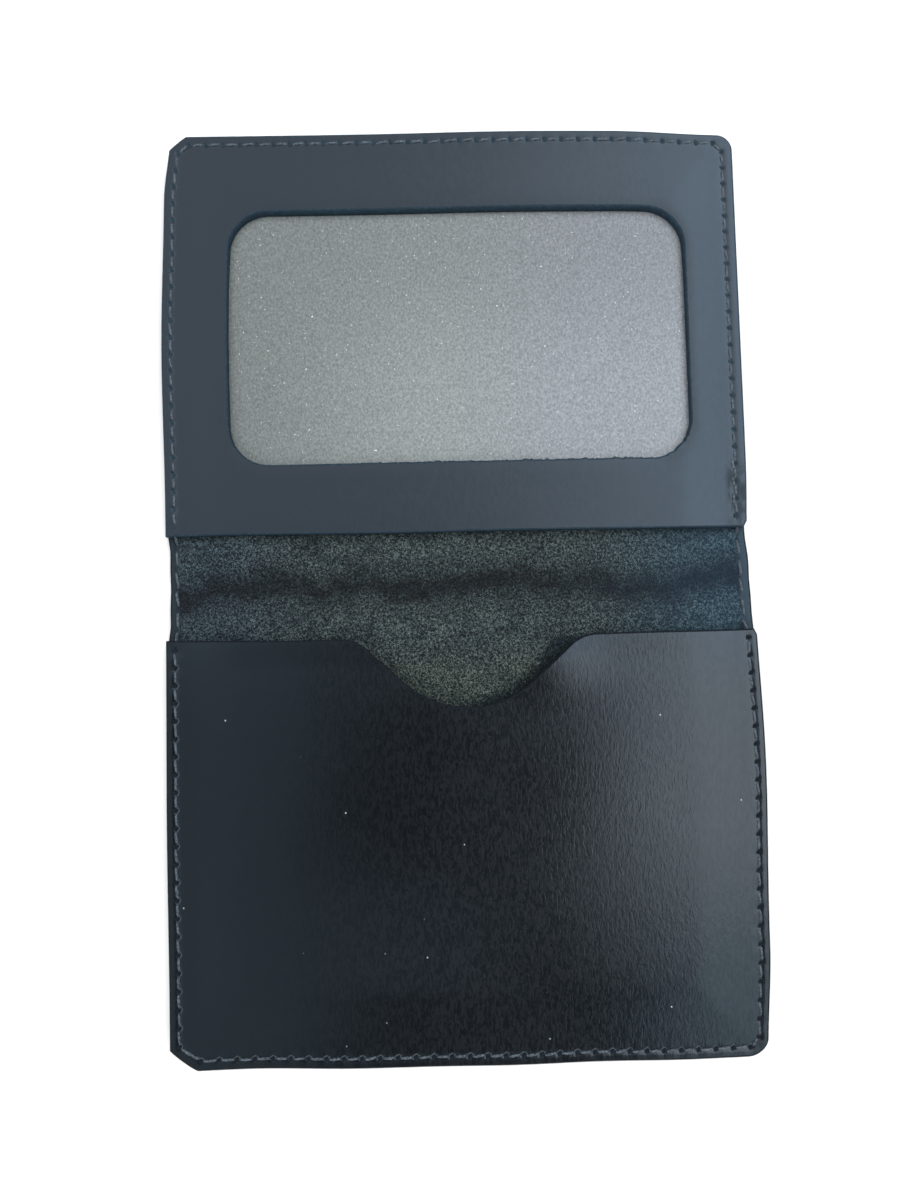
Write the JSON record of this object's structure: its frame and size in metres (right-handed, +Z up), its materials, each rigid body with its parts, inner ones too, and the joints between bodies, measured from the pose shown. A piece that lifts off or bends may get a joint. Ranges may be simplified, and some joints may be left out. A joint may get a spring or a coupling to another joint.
{
  "type": "folding card wallet",
  "caption": "Open two-fold leather card wallet: a window panel and a card pocket with a thumb notch, stitched to a one-piece cover that is bare suede at the fold.",
  "frame": {"origin": "middle of the bare band, on the surface that the open wallet lies on", "axes": "+X runs across the wallet to the right, +Y from the card pocket to the window half, +Z up out of the inside faces"},
  "size_m": [0.1, 0.159, 0.0043],
  "materials": {
    "cover_leather": "black, smooth outside and suede inside",
    "panel_leather": "smooth black, semi-gloss",
    "clear_film": "clear, slightly hazy",
    "adhesive": "translucent",
    "thread": "waxed, black with a blue cast"
  },
  "bodies": {
    "lower_half": {"cover_lower": "cover_leather", "card_pocket": "panel_leather", "card_pocket_seam": "panel_leather", "needle_thread_lower": "thread", "bobbin_thread_lower": "thread"},
    "spine": {"cover_spine": "cover_leather", "needle_thread_spine": "thread", "bobbin_thread_spine": "thread"},
    "upper_half": {"cover_upper": "cover_leather", "window_panel": "panel_leather", "window_panel_seam": "panel_leather", "window_film": "clear_film", "film_adhesive": "adhesive", "needle_thread_upper": "thread", "bobbin_thread_upper": "thread"}
  },
  "joints": [
    {"name": "fold_lower", "type": "hinge", "parent": "lower_half", "child": "spine", "pos_m": [0, -0.003, 0.0014], "axis": [1, 0, 0], "range_deg": [0, 86]},
    {"name": "fold_upper", "type": "hinge", "parent": "spine", "child": "upper_half", "pos_m": [0, 0.003, 0.0014], "axis": [1, 0, 0], "range_deg": [0, 86]}
  ],
  "couplings": [
    {"joint": "fold_upper", "follows": "fold_lower", "ratio": 1}
  ]
}
